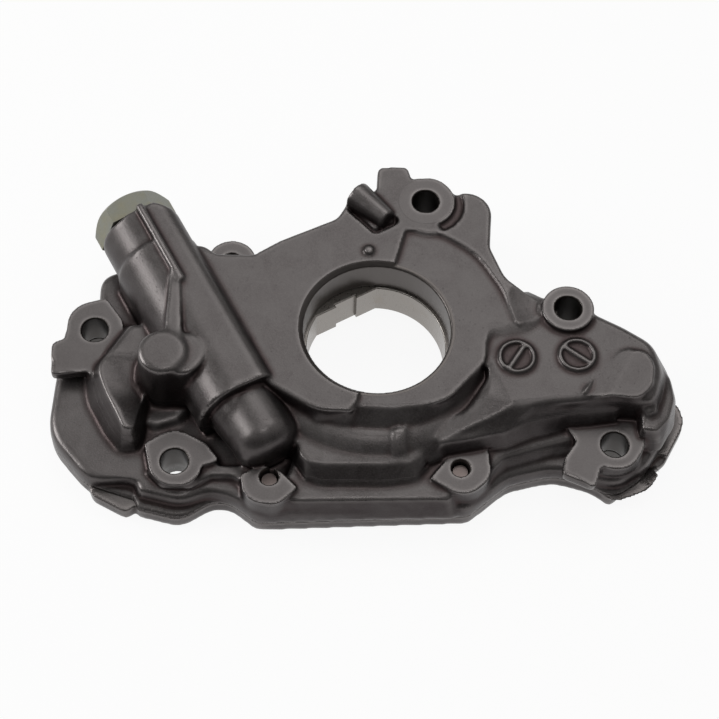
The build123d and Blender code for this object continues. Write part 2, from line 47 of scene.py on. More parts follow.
RELIEF_LEAN = math.radians(30)
RELIEF_AXIS = np.array((math.sin(RELIEF_LEAN), -math.cos(RELIEF_LEAN), 0.0))

# How far out of the bore's rim, and from the middle of each hole or round pad, the metal looks cut.
BORE_RIM = 1.45
MOUNT_CUT = 4.75
SCREW_CUT = 3.35
ROUND_PAD = 8.9

# How far the cast skins keep the solid's own surface there, and within how much of a pad's level.
SKIN_MARGIN = 1.9
MOUNT_HELD = 5.6
SCREW_HELD = 3.9
MOUNT_PAD_REACH = 17.0
SCREW_PAD_REACH = 13.0
ROUND_PAD_HELD = 9.8
FLAT_BAND = 0.4

# Levels: the housing's joint face lies below REAR_Z, and the cover's mating face above COVER_TOP.
REAR_Z = 5.9
RIM_Z = 16.3
COVER_TOP = 5.2
UNLIMITED = 99.0

# The size of each skin's faces and the rounds of softening, then how its edges are found.
BODY_VOXEL = 0.5
BODY_PASSES = 16
COVER_VOXEL = 0.6
COVER_PASSES = 8
BROAD_PASSES = 14
BEND_GAIN = 5.0

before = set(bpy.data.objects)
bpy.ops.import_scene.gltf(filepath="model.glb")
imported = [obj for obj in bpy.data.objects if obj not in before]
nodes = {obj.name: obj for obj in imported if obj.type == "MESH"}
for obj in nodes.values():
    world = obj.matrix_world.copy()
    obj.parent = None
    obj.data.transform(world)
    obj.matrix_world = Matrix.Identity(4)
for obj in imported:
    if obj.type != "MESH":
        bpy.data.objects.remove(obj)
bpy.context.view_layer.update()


# ---------------------------------------------------------------- materials

class Shader:
    """One procedural material, its nodes added by short calls. Lengths are millimetres."""

    def __init__(self, name):
        self.material = bpy.data.materials.new(name)
        self.material.use_nodes = True
        self.tree = self.material.node_tree
        self.tree.nodes.clear()
        self.output = self.node("ShaderNodeOutputMaterial")
        self.bsdf = self.node("ShaderNodeBsdfPrincipled")
        self.tree.links.new(self.bsdf.outputs["BSDF"], self.output.inputs["Surface"])
        scaled = self.node("ShaderNodeVectorMath", operation="SCALE")
        self.tree.links.new(self.node("ShaderNodeTexCoord").outputs["Object"], scaled.inputs[0])
        scaled.inputs["Scale"].default_value = 1 / MM
        self.place = scaled.outputs[0]

    def node(self, kind, **settings):
        made = self.tree.nodes.new(kind)
        for key, value in settings.items():
            setattr(made, key, value)
        return made

    def feed(self, socket, value):
        if isinstance(value, bpy.types.NodeSocket):
            self.tree.links.new(value, socket)
        else:
            socket.default_value = value

    def set(self, **values):
        for key, value in values.items():
            self.feed(self.bsdf.inputs[key.replace("_", " ")], value)

    def noise(self, size, detail=3.0, roughness=0.55, stretch=None, distortion=0.0):
        """Fractal noise whose main blotches are about size across, from 0 to 1."""
        place = self.place
        if stretch:
            mapping = self.node("ShaderNodeMapping")
            self.tree.links.new(place, mapping.inputs["Vector"])
            mapping.inputs["Scale"].default_value = stretch
            place = mapping.outputs[0]
        made = self.node("ShaderNodeTexNoise")
        self.tree.links.new(place, made.inputs["Vector"])
        made.inputs["Scale"].default_value = 1 / size
        made.inputs["Detail"].default_value = detail
        made.inputs["Roughness"].default_value = roughness
        made.inputs["Distortion"].default_value = distortion
        return made.outputs[0]

    def pits(self, size, reach=0.4):
        """1 in sparse small pits, 0 elsewhere."""
        made = self.node("ShaderNodeTexVoronoi")
        self.tree.links.new(self.place, made.inputs["Vector"])
        made.inputs["Scale"].default_value = 1 / size
        return self.fit(made.outputs["Distance"], reach, 0.0)

    def attribute(self, name):
        return self.node("ShaderNodeAttribute", attribute_name=name).outputs["Fac"]

    def fit(self, value, low, high, to_low=0.0, to_high=1.0):
        made = self.node("ShaderNodeMapRange")
        self.feed(made.inputs["Value"], value)
        made.inputs["From Min"].default_value = low
        made.inputs["From Max"].default_value = high
        made.inputs["To Min"].default_value = to_low
        made.inputs["To Max"].default_value = to_high
        return made.outputs[0]

    def math(self, operation, *values):
        made = self.node("ShaderNodeMath", operation=operation)
        for socket, value in zip(made.inputs, values):
            self.feed(socket, value)
        return made.outputs[0]

    def mix(self, share, first, second):
        """Blends two colours."""
        made = self.node("ShaderNodeMix", data_type="RGBA")
        self.feed(made.inputs[0], share)
        for socket, value in ((made.inputs[6], first), (made.inputs[7], second)):
            self.feed(socket, value if isinstance(value, bpy.types.NodeSocket) else (*value, 1.0))
        return made.outputs[2]

    def blend(self, share, first, second):
        """Blends two numbers."""
        made = self.node("ShaderNodeMix", data_type="FLOAT")
        for socket, value in zip(made.inputs[0:1] + made.inputs[2:4], (share, first, second)):
            self.feed(socket, value)
        return made.outputs[0]

    def axes(self):
        """The place's x, y and z."""
        made = self.node("ShaderNodeSeparateXYZ")
        self.tree.links.new(self.place, made.inputs[0])
        return made.outputs

    def steepness(self):
        """0 on faces that look along the pump's axis, 1 on upright walls."""
        made = self.node("ShaderNodeSeparateXYZ")
        self.tree.links.new(self.node("ShaderNodeTexCoord").outputs["Normal"], made.inputs[0])
        return self.fit(self.math("ABSOLUTE", made.outputs[2]), 0.86, 0.30)

    def reach(self, x, y):
        """Distance from the upright line at x, y."""
        moved = self.node("ShaderNodeVectorMath", operation="SUBTRACT")
        self.tree.links.new(self.place, moved.inputs[0])
        moved.inputs[1].default_value = (x, y, 0.0)
        flat = self.node("ShaderNodeVectorMath", operation="MULTIPLY")
        self.tree.links.new(moved.outputs[0], flat.inputs[0])
        flat.inputs[1].default_value = (1.0, 1.0, 0.0)
        made = self.node("ShaderNodeVectorMath", operation="LENGTH")
        self.tree.links.new(flat.outputs[0], made.inputs[0])
        return made.outputs["Value"]

    def near(self, value, middle, reach, soft=0.08):
        """1 where a number is within reach of the middle, 0 beyond it."""
        away = self.math("ABSOLUTE", self.math("SUBTRACT", value, middle))
        return self.fit(away, reach, reach + soft, 1.0, 0.0)

    def bump(self, *layers):
        """Layers of (height socket, depth) turned into one normal, the coarsest first."""
        normal = None
        for height, depth in layers:
            made = self.node("ShaderNodeBump")
            made.inputs["Strength"].default_value = 1.0
            made.inputs["Distance"].default_value = depth * MM
            self.feed(made.inputs["Height"], height)
            if normal is not None:
                self.tree.links.new(normal, made.inputs["Normal"])
            normal = made.outputs[0]
        self.set(Normal=normal)


def mount_holes(s):
    """1 in the mounting holes."""
    hole = 0.0
    for x, y, _ in MOUNTS:
        hole = s.math("MAXIMUM", hole, s.near(s.reach(x, y), 0.0, MOUNT_CUT))
    return hole


def cut_faces(s):
    """1 on drilled holes and the turned bore."""
    bore = s.near(s.reach(0.0, 0.0), 0.0, BORE_RADIUS + BORE_RIM)
    cut = s.math("MULTIPLY", bore, s.fit(s.axes()[2], PAD_Z - 0.6, PAD_Z - 0.4))
    cut = s.math("MAXIMUM", cut, mount_holes(s))
    for x, y in SCREWS:
        cut = s.math("MAXIMUM", cut, s.near(s.reach(x, y), 0.0, SCREW_CUT))
    return cut


def pad_faces(s):
    """1 on the faces that the mounting bolts and cover screws come out of."""
    height = s.axes()[2]
    flat = 0.15
    pad = s.math("MAXIMUM", s.near(height, PAD_Z, flat), s.near(height, LOW_PAD_Z, flat))
    for x, y, top in (MOUNT_TOP, MOUNT_RIGHT):
        disc = s.math("MULTIPLY", s.near(s.reach(x, y), 0.0, ROUND_PAD), s.near(height, top, flat))
        pad = s.math("MAXIMUM", pad, disc)
    return pad


def shade(colour, *factors):
    """A colour made darker or lighter, by one factor or by one for each channel."""
    return tuple(c * f for c, f in zip(colour, factors * 3 if len(factors) == 1 else factors))


def cast_aluminium(name, dark, light, machined):
    """Die-cast skin with fine grain and flow mottling, with painted shade on steep walls and in hollows.

    Outer edges are lighter, partly burnished wear and partly a painted highlight, and cut faces are
    plainer, darkened inside the mounting holes with painted shade.
    """
    s = Shader(name)
    edge, cut, pad = s.attribute("edge"), cut_faces(s), pad_faces(s)
    mottle = s.noise(9.0, 4.0, 0.6, distortion=0.6)
    grain = s.noise(0.55, 3.0, 0.7)
    lines = s.noise(0.35, 2.0, 0.6, stretch=(0.15, 0.15, 2.5))

    skin = s.mix(s.fit(mottle, 0.35, 0.68), dark, light)
    skin = s.mix(s.fit(grain, 0.42, 0.72, 0.0, 0.45), skin, shade(light, 1.55))
    # Painted shade: steep walls are darkened towards a reddish brown, varied by the mottling.
    wall = s.math("MULTIPLY", s.steepness(), s.fit(mottle, 0.25, 0.75, 0.80, 0.55))
    skin = s.mix(wall, skin, shade(dark, 0.42, 0.34, 0.36))
    skin = s.mix(s.math("MULTIPLY", pad, 0.25), skin, shade(light, 1.2))
    # Painted highlight on outer edges, which also stands for burnished wear.
    skin = s.mix(s.fit(edge, 0.12, 0.85, 0.0, 0.5), skin, shade(light, 1.8))
    # Painted shade in hollows and creases, in a dark reddish brown.
    skin = s.mix(s.fit(edge, -0.10, -0.7, 0.0, 0.75), skin, shade(dark, 0.52, 0.36, 0.36))
    metal = s.mix(s.fit(lines, 0.3, 0.7), shade(machined, 0.8), machined)
    # Painted shade inside the mounting holes.
    metal = s.mix(s.math("MULTIPLY", mount_holes(s), 0.8), metal, PAINTED_HOLE_SHADE)
    s.set(Base_Color=s.mix(cut, skin, metal))

    rough = s.fit(s.math("ADD", grain, s.math("MULTIPLY", mottle, 0.8)), 0.6, 1.2, 0.29, 0.45)
    rough = s.math("SUBTRACT", rough, s.fit(edge, 0.1, 0.8, 0.0, 0.07))
    s.set(Roughness=s.blend(cut, rough, s.fit(lines, 0.3, 0.7, 0.28, 0.40)), Metallic=0.82)

    smooth = s.math("MAXIMUM", s.math("MULTIPLY", cut, 0.9), s.math("MULTIPLY", pad, 0.6))
    calm = s.math("SUBTRACT", 1.0, smooth)
    s.bump(
        (s.math("MULTIPLY", s.noise(3.2, 2.0, 0.5), calm), 0.05),
        (s.math("MULTIPLY", grain, calm), 0.045),
        (s.math("MULTIPLY", s.pits(1.7, 0.16), calm), -0.05),
    )
    return s.material


def ground_steel(name, tone, rough, lines=(1.0, 1.0, 1.0)):
    """Sintered or ground steel: tool lines, fine pores and a slight warm stain."""
    s = Shader(name)
    streak = s.noise(0.6, 3.0, 0.6, stretch=lines)
    pores = s.pits(0.9, 0.13)
    stain = s.noise(7.0, 3.0, 0.6)
    base = s.mix(s.fit(streak, 0.3, 0.7), shade(tone, 0.86), tone)
    base = s.mix(s.fit(stain, 0.55, 0.8, 0.0, 0.35), base, shade(tone, 0.78, 0.70, 0.60))
    s.set(Base_Color=s.mix(pores, base, shade(tone, 0.45)), Metallic=1.0)
    s.set(Roughness=s.fit(streak, 0.3, 0.7, rough - 0.05, rough + 0.07))
    s.bump((streak, 0.012), (pores, -0.04))
    return s.material


def zinc_plate(name, tone):
    """Pale passivated zinc: cloudy colour from greenish grey to straw, with a fine satin grain."""
    s = Shader(name)
    cloud, grain = s.noise(5.0, 4.0, 0.6), s.noise(0.35, 2.0, 0.6)
    base = s.mix(s.fit(cloud, 0.35, 0.65), tone, shade(tone, 1.06, 1.0, 0.84))
    base = s.mix(s.fit(grain, 0.35, 0.75, 0.0, 0.25), base, shade(tone, 0.72))
    s.set(Base_Color=base, Roughness=s.fit(grain, 0.3, 0.7, 0.40, 0.52), Metallic=0.75)
    s.bump((cloud, 0.02), (grain, 0.02))
    return s.material


def nitrile(name):
    """Black rubber with a fine matt grain."""
    s = Shader(name)
    grain = s.noise(0.4, 3.0, 0.6)
    s.set(Base_Color=s.mix(grain, (0.012, 0.012, 0.013), (0.035, 0.034, 0.034)))
    s.set(Roughness=s.fit(grain, 0.3, 0.7, 0.5, 0.7))
    s.bump((grain, 0.02))
    return s.material


# The dark colour of the painted shade inside the mounting holes.
PAINTED_HOLE_SHADE = (0.032, 0.028, 0.025)
CAST = cast_aluminium(
    "cast_skin",
    dark=(0.070, 0.063, 0.062), light=(0.105, 0.097, 0.095), machined=(0.12, 0.108, 0.102))
COVER = cast_aluminium(
    "cast_cover_skin",
    dark=(0.073, 0.066, 0.064), light=(0.110, 0.101, 0.098), machined=(0.20, 0.185, 0.178))
SINTERED = ground_steel("sintered_steel", (0.30, 0.28, 0.26), 0.30, lines=(1.0, 1.0, 0.15))
VALVE = ground_steel("valve_steel", (0.45, 0.44, 0.43), 0.22, lines=(6.0, 0.6, 1.0))
SPRING = ground_steel("spring_steel", (0.22, 0.22, 0.23), 0.34)
SCREW = ground_steel("screw_steel", (0.20, 0.165, 0.155), 0.42)
ZINC = zinc_plate("zinc_plate", (0.24, 0.245, 0.218))
RUBBER = nitrile("black_rubber")


# ---------------------------------------------------------------- cast skins made from the CAD solids

def spread(count, ends, values):
    """The mean of each point's neighbours' values."""
    a, b = ends
    number = np.bincount(a, minlength=count) + np.bincount(b, minlength=count)
    total = [np.bincount(a, v[b], count) + np.bincount(b, v[a], count) for v in values.T]
    return np.stack(total, 1) / np.maximum(number, 1)[:, None]


def relief_distance(p):
    """Distance from the relief bore's axis line."""
    d = p - RELIEF_START
    return np.linalg.norm(d - np.outer(d @ RELIEF_AXIS, RELIEF_AXIS), axis=1)


def away_from(p, x, y):
    """Distance from the upright line at x, y."""
    return np.hypot(p[:, 0] - x, p[:, 1] - y)


def body_held(p):
    """True where the skin keeps the solid's exact surface: cut faces, pad rims and everything inside."""
    z = p[:, 2]
    held = (away_from(p, 0.0, 0.0) < BORE_RADIUS + SKIN_MARGIN) & (z > PAD_Z)
    for x, y, top in MOUNTS:
        away, flat = away_from(p, x, y), np.abs(z - top) < FLAT_BAND
        reach = MOUNT_PAD_REACH if top < FACE_Z else ROUND_PAD_HELD
        held |= (away < MOUNT_HELD) | ((away < reach) & flat)
    for x, y in SCREWS:
        away, flat = away_from(p, x, y), np.abs(z - PAD_Z) < FLAT_BAND
        held |= (away < SCREW_HELD) | ((away < SCREW_PAD_REACH) & flat)
    held |= (away_from(p, 0.0, 0.0) < CHAMBER_RADIUS + 1.0) & (z < PAD_Z + 0.5)
    held |= (relief_distance(p) < 11.2) & ((p - RELIEF_START) @ RELIEF_AXIS < 84)
    return held | (z < REAR_Z)


def body_softness(p):
    """How much of the full rounding each place takes: less on the small raised and sunk details."""
    x, _, z = p.T
    share = np.ones(len(p))
    share[(z > FACE_Z - 2.2) & (x > -40.0)] = 0.3
    for place in STAMPS:
        share[(away_from(p, *place) < 8.0) & (z > 27.5)] = 0.15
    share[(away_from(p, *JET) < 13.0) & (z > 26.0)] = 0.2
    share[away_from(p, *NUB) < 3.0] = 0.12
    for x, y, top in MOUNTS:
        share[(away_from(p, x, y) < MOUNT_PAD_REACH) & (np.abs(z - top) < 1.4)] = 0.3
    for place in SCREWS:
        share[(away_from(p, *place) < SCREW_PAD_REACH) & (np.abs(z - PAD_Z) < 1.4)] = 0.3
    barrel_rib = (z > 32.5) & (away_from(p, *POST) > 10.5) & (relief_distance(p) < 18.5)
    share[barrel_rib] = 0.4
    return share


def body_hidden(p):
    """True inside the casting, where the faces can be larger."""
    z = p[:, 2]
    hidden = (away_from(p, 0.0, 3.0) < CHAMBER_RADIUS + 0.4) & (z < PAD_Z + 0.4)
    hidden |= (z < REAR_Z)
    along = (p - RELIEF_START) @ RELIEF_AXIS
    hidden |= (relief_distance(p) < 8.6) & (along > 6.0) & (along < 83.0)
    return hidden


def cover_held(p):
    """True on the cover's mating face, round its holes and under the rotor chamber."""
    inside = away_from(p, 0.0, 0.0) < CHAMBER_RADIUS + 1.0
    for x, y, _ in MOUNTS:
        inside |= away_from(p, x, y) < MOUNT_HELD
    for x, y in SCREWS:
        inside |= away_from(p, x, y) < 7.0
    return inside | (p[:, 2] > COVER_TOP)


def cover_hidden(p):
    """True on the mating face, away from the corners where it shows."""
    x, y, z = p.T
    return (z > COVER_TOP) & (x < 80.0) & (y > -50.0)


def all_soft(p):
    return np.ones(len(p))


def arc(x, y, radius, steps, start, sweep):
    """Points along an arc, both ends included."""
    turns = [math.radians(start + sweep * i / steps) for i in range(steps + 1)]
    return [(x + radius * math.cos(t), y + radius * math.sin(t)) for t in turns]


def circle(x, y, radius, steps=24):
    return arc(x, y, radius, steps, 0.0, 360.0)[:-1]


def walls(count):
    """Faces that join one ring of corners to the next, with both ends closed."""
    sides = [(i, (i + 1) % count, count + (i + 1) % count, count + i) for i in range(count)]
    return sides + [tuple(range(count))[::-1], tuple(range(count, 2 * count))]


def block(low, low_z, high, high_z):
    """Corners and faces of a block between two outlines with as many corners each."""
    corners = [(x, y, low_z) for x, y in low] + [(x, y, high_z) for x, y in high]
    return corners, walls(len(low))


def leaning_cone(start, end, start_radius, end_radius):
    """Corners and faces of a cone along any line."""
    start, end = Vector(start), Vector(end)
    turn = (end - start).to_track_quat("Z", "Y")
    ring = [circle(0.0, 0.0, radius) for radius in (start_radius, end_radius)]
    corners = [tuple(start + turn @ Vector((x, y, 0.0))) for x, y in ring[0]]
    corners += [tuple(end + turn @ Vector((x, y, 0.0))) for x, y in ring[1]]
    return corners, walls(len(ring[0]))


def jet_groove_floor():
    return block(
        [(-11.4, 47.0), (-10.2, 44.9), (-1.8, 36.6), (5.6, 41.4), (1.5, 45.0), (-5.0, 51.0)], 27.0,
        [(-10.4, 47.0), (-9.4, 45.6), (-1.8, 38.2), (4.2, 41.6), (1.5, 44.4), (-5.0, 50.0)], 30.1)


def jet_root():
    return leaning_cone((-8.6, 50.6, 31.0), (2.2, 40.9, 31.9), 5.2, 3.2)


def front_rim():
    """The raised rim along the straight front edge."""
    back = [(22.0, -38.0), (-24.0, -38.0), (-27.5, -50.0)]
    return block(
        [(-30.6, -58.6), (27.0, -55.6), (28.5, -52.0)] + back, 6.2,
        [(-28.0, -56.3), (24.5, -53.2), (28.5, -49.0)] + back, RIM_Z)


def right_rim():
    """The raised rim between the right screw pad and the low right mounting pad."""
    return block(
        [(34.0, -51.6), (44.0, -43.0), (51.0, -40.4), (60.0, -38.6), (66.0, -39.4), (66.0, -24.0),
         (33.0, -26.0)], 6.2,
        [(35.5, -46.0), (42.0, -37.4), (50.0, -34.6), (60.0, -31.0), (64.0, -29.5), (62.0, -22.0),
         (36.0, -26.0)], RIM_Z)


def drum_foot():
    """The box-shaped front of the rotor drum."""
    return block(
        [(-26.5, -36.0), (-24.4, -45.0), (-20.6, -50.6), (-15.8, -52.2), (3.0, -51.6), (14.5, -49.2),
         (18.6, -44.5), (15.0, -30.0), (-24.0, -30.0)], 15.0,
        [(-25.0, -34.0), (-22.9, -42.0), (-20.3, -45.0), (-15.4, -45.6), (2.6, -44.8), (12.4, -43.8),
         (16.0, -40.8), (13.0, -28.0), (-22.0, -28.0)], 22.2)


def face_wall():
    """The sloping wall below the face's lower edge, clear of the crank bore."""
    bore_side = arc(0.0, 0.0, BORE_RADIUS + SKIN_MARGIN, 12, -18.0, -132.0)
    return block(
        [(-31.0, -22.0), (-24.4, -29.2), (-18.0, -33.6), (-8.7, -35.9), (2.3, -36.0), (13.0, -35.0),
         (21.0, -31.0), (29.5, -24.5), (35.6, -14.5), (32.0, -8.0)] + bore_side, 23.0,
        [(-30.0, -22.0), (-23.4, -27.4), (-17.2, -30.6), (-8.6, -31.0), (-4.8, -28.8), (6.0, -28.8),
         (16.4, -27.2), (24.5, -22.8), (33.4, -12.6), (31.0, -8.0)] + bore_side, 29.9)


def deck_wall():
    """The right deck's front wall."""
    back = [(70.0, -12.0), (34.0, -10.0)]
    return block(
        [(18.0, -41.6), (31.0, -38.4), (44.0, -35.8), (52.0, -32.2), (62.0, -28.4), (78.0, -25.4)] + back,
        14.0,
        [(21.0, -37.6), (31.0, -35.4), (41.0, -32.6), (50.0, -28.2), (62.0, -24.8), (78.0, -22.8)] + back,
        24.0)


def deck_shoulder():
    """The soft slope from the right deck to its front wall."""
    return block(
        [(22.0, -36.8), (31.0, -34.8), (41.0, -32.0), (50.0, -27.8), (62.0, -24.4), (78.0, -22.6),
         (70.0, -12.0), (36.0, -11.0)], 23.8,
        [(36.0, -20.4), (39.0, -24.0), (44.0, -25.6), (51.0, -24.4), (62.0, -22.2), (77.0, -21.2),
         (70.0, -12.0), (38.0, -12.0)], 28.7)


def end_lobe():
    return block(
        [(70.0, 2.0), (60.0, -22.6), (66.0, -24.4), (76.0, -22.6), (83.5, -21.6), (88.5, -23.5),
         (92.6, -18.0), (92.4, -8.0), (88.0, -0.5), (80.0, 4.0)], 14.0,
        [(78.4, -5.0), (66.0, -20.4), (72.0, -21.4), (78.0, -20.8), (83.0, -20.0), (86.4, -18.8),
         (88.2, -15.6), (87.6, -9.6), (84.2, -4.8), (81.0, -4.0)], 30.2)


def end_buttress():
    """The rounded corner between the end lobe and the low right mounting pad."""
    return block(
        [(83.5, -20.0), (82.8, -23.6), (86.4, -29.6), (92.5, -28.0), (92.0, -16.0), (84.0, -14.0)], 12.0,
        [(83.5, -18.5), (84.2, -21.4), (87.0, -24.2), (89.8, -22.6), (90.0, -16.0), (84.0, -14.0)], 25.0)


def end_terrace():
    return block(
        [(84.0, -31.0), (92.5, -31.0), (97.4, -22.0), (98.4, -12.0), (95.4, -1.0), (88.0, 5.0),
         (82.0, -5.0)], 12.0,
        [(85.5, -28.6), (90.0, -29.0), (94.2, -24.0), (96.0, -17.0), (95.0, -10.0), (90.5, -2.5),
         (84.0, -5.0)], 22.6)


def left_hump_side():
    """The left hump's side towards the blank post."""
    return block(
        [(-86.0, -10.0), (-86.0, -30.0), (-80.6, -39.6), (-74.0, -37.5), (-71.6, -24.0), (-72.0, -8.0)],
        9.0,
        [(-86.0, -12.0), (-85.6, -22.0), (-79.8, -34.4), (-77.4, -33.0), (-76.8, -24.0), (-76.6, -10.0)],
        20.6)


def low_left_skirt():
    """The thick skirt in front of the low left mounting pad, clear of its hole."""
    x, y, _ = MOUNT_LOW_LEFT
    hole_side = arc(x, y, 5.3, 8, 0.0, -180.0)
    return block(
        [(-73.5, -49.5), (-66.5, -56.6), (-56.0, -56.2), (-48.0, -50.6), (-41.0, -51.6), (-37.0, -56.5),
         (-36.5, -44.0)] + hole_side, 6.2,
        [(-70.5, -46.5), (-66.0, -52.0), (-57.0, -51.8), (-51.0, -47.0), (-44.0, -46.6), (-39.0, -50.0),
         (-37.0, -43.0)] + hole_side, 14.0)


def post_foot():
    return block(
        [(-82.0, -10.0), (-80.5, -24.0), (-77.0, -31.5), (-70.0, -33.5), (-61.0, -30.5), (-55.0, -22.0),
         (-56.0, -8.0), (-70.0, -4.0)], 9.0,
        [(-80.0, -12.0), (-78.5, -22.5), (-75.0, -28.2), (-69.5, -29.6), (-63.0, -27.0), (-58.0, -21.0),
         (-58.0, -10.0), (-70.0, -5.0)], 13.8)


def post_partner():
    """The low boss behind the blank post."""
    x, y = -61.8, -14.8
    return block(circle(x, y, 8.8), 12.0, circle(x, y, 7.6), 34.4)


def low_right_pad_edge():
    """The strip that fills the low right mounting pad out to its rear edge."""
    edge = [(66.4, -24.8), (72.6, -22.4), (82.2, -20.1), (82.6, -23.0), (70.0, -27.0)]
    return block(edge, 14.2, edge, PAD_Z - 0.1)


def top_pad_foot():
    """Fills the crescent round the top mounting pad on its left, where the casting is plain."""
    x, y, _ = MOUNT_TOP
    inner = arc(x, y, 9.2, 10, 190.0, 105.0)
    outer = arc(x + 1.5, y - 0.9, 11.9, 10, 190.0, 105.0)
    foot = inner + outer[::-1]
    return block(foot, 28.0, foot, FACE_Z - 0.05)


def face_corner():
    """The face's right corner, which slopes into the deck."""
    return block(
        [(34.0, -11.0), (41.0, -6.0), (51.0, -3.0), (60.0, 5.0), (58.0, 14.0), (49.0, 18.5), (34.0, 14.0)],
        27.0,
        [(34.0, -6.0), (37.0, 1.5), (47.5, 3.5), (52.5, 8.0), (52.0, 12.0), (46.0, 16.0), (34.0, 12.0)],
        29.9)


def body_blends():
    """Swells of the casting that run its main forms into each other."""
    return [
        jet_groove_floor(), front_rim(), right_rim(), drum_foot(), face_wall(), deck_wall(),
        deck_shoulder(), end_lobe(), end_buttress(), end_terrace(), left_hump_side(), low_left_skirt(),
        post_foot(), post_partner(), low_right_pad_edge(), top_pad_foot(), face_corner(), jet_root(),
    ]


def bell(value, middle, half_width):
    """1 near the middle, falling to 0 beyond the half width."""
    return np.exp(-(((value - middle) / half_width) ** 4))


def ramp(value, start, length):
    """0 up to the start, 1 past the length."""
    return np.clip((value - start) / length, 0.0, 1.0)


def corner_ceiling(p):
    """Keeps the face's right corner down to a slope, and the end lobe to a shallow ramp."""
    x, y, _ = p.T
    ceiling = 29.4 + 1.6 * ramp(away_from(p, 53.0, 11.0), 3.0, 9.0) ** 1.5
    past_lobe_line = x - 66.0 - 0.5 * (y + 22.0)
    ceiling = np.where(past_lobe_line > 0.0, 28.9 + 1.2 * ramp(past_lobe_line, 0.0, 8.0), ceiling)
    pad_x, pad_y, _ = MOUNT_RIGHT
    return np.where((x > 40.0) & (away_from(p, pad_x, pad_y) > 9.9), ceiling, UNLIMITED)


def hump_ceiling(p):
    """Slopes the left hump's top down from its outer ridge towards the blank post."""
    x, y, _ = p.T
    ridge = np.interp(y, (-35.6, -28.5, -19.7, -12.4), (-78.3, -81.2, -87.9, -89.6))
    hump = (x < -74.0) & (y < -10.0) & (y > -42.0) & (away_from(p, *POST) > 8.6)
    fall = 0.36 * np.clip(x - ridge, 0.0, 20.0) * ramp(-y, 10.0, 14.0)
    return np.where(hump, 21.8 - fall, UNLIMITED)


def body_fit(p):
    """Draws the flange's lower corners in to their cast line, and keeps the slopes down."""
    x, y, z = p.T.copy()
    low = ramp(-z, -13.0, 2.0)
    y += 3.6 * low * bell(x, -68.0, 17.0) * ramp(-y, 44.0, 8.0)
    y += 1.8 * low * bell(x, 81.0, 9.0) * ramp(-y, 34.0, 6.0)
    drawn = np.stack((x, y, z), 1)
    ceiling = np.minimum(hump_ceiling(drawn), corner_ceiling(drawn))
    return np.stack((x, y, np.minimum(z, ceiling)), 1)


def cover_fit(p):
    """Draws the cover's lower right corner in to its cast line."""
    x, y, z = p.T.copy()
    share = bell(x, 88.0, 9.0) * ramp(-y, 30.0, 9.0)
    x -= 1.6 * share
    y += 3.6 * share
    return np.stack((x, y, z), 1)


def read_points(data, name):
    """A mesh's numbers in rows of three, such as its corners' places."""
    numbers = np.empty(len(data) * 3, np.float32)
    data.foreach_get(name, numbers)
    return numbers.reshape(-1, 3)


def applied(piece):
    """The piece's mesh with its modifiers applied, which are then cleared."""
    mesh = bpy.data.meshes.new_from_object(piece.evaluated_get(bpy.context.evaluated_depsgraph_get()))
    piece.modifiers.clear()
    return mesh


def join_with_blends(name, corners, faces, blends):
    """A new object of the solid's faces and those of the blends, which the remesh then runs together."""
    corners, faces = list(corners), list(faces)
    for extra, sides in blends:
        faces += [tuple(len(corners) + i for i in side) for side in sides]
        corners += extra
    joined = bpy.data.meshes.new(name)
    joined.from_pydata([tuple(c * MM for c in corner) for corner in corners], [], faces)
    piece = bpy.data.objects.new(name, joined)
    bpy.context.scene.collection.objects.link(piece)
    return piece


def mark_edges(mesh, places, ends):
    """Stores how far each corner stands out of its surroundings, for the material's painted highlight and
    wear on outer edges and its painted shade in hollows.
    """
    count = len(places)
    broad = places.copy()
    for _ in range(BROAD_PASSES):
        broad = 0.4 * broad + 0.6 * spread(count, ends, broad)
    bend = np.einsum("ij,ij->i", places - broad, read_points(mesh.vertex_normals, "vector"))[:, None]
    for _ in range(2):
        bend = spread(count, ends, bend)
    layer = mesh.attributes.new("edge", "FLOAT", "POINT")
    layer.data.foreach_set("value", np.clip(bend.ravel() * BEND_GAIN, -1, 1).astype(np.float32))


def thin_out(piece, hidden):
    """Larger faces inside the casting, where nothing shows them."""
    group = piece.vertex_groups.new(name="hidden")
    group.add([int(i) for i in np.flatnonzero(hidden)], 1.0, "REPLACE")
    thin = piece.modifiers.new("thin", "DECIMATE")
    thin.ratio = 1.0 - 0.9 * float(hidden.mean())
    thin.vertex_group = group.name
    thin.vertex_group_factor = 1000.0
    thinned = applied(piece)
    piece.vertex_groups.clear()
    piece.data = thinned


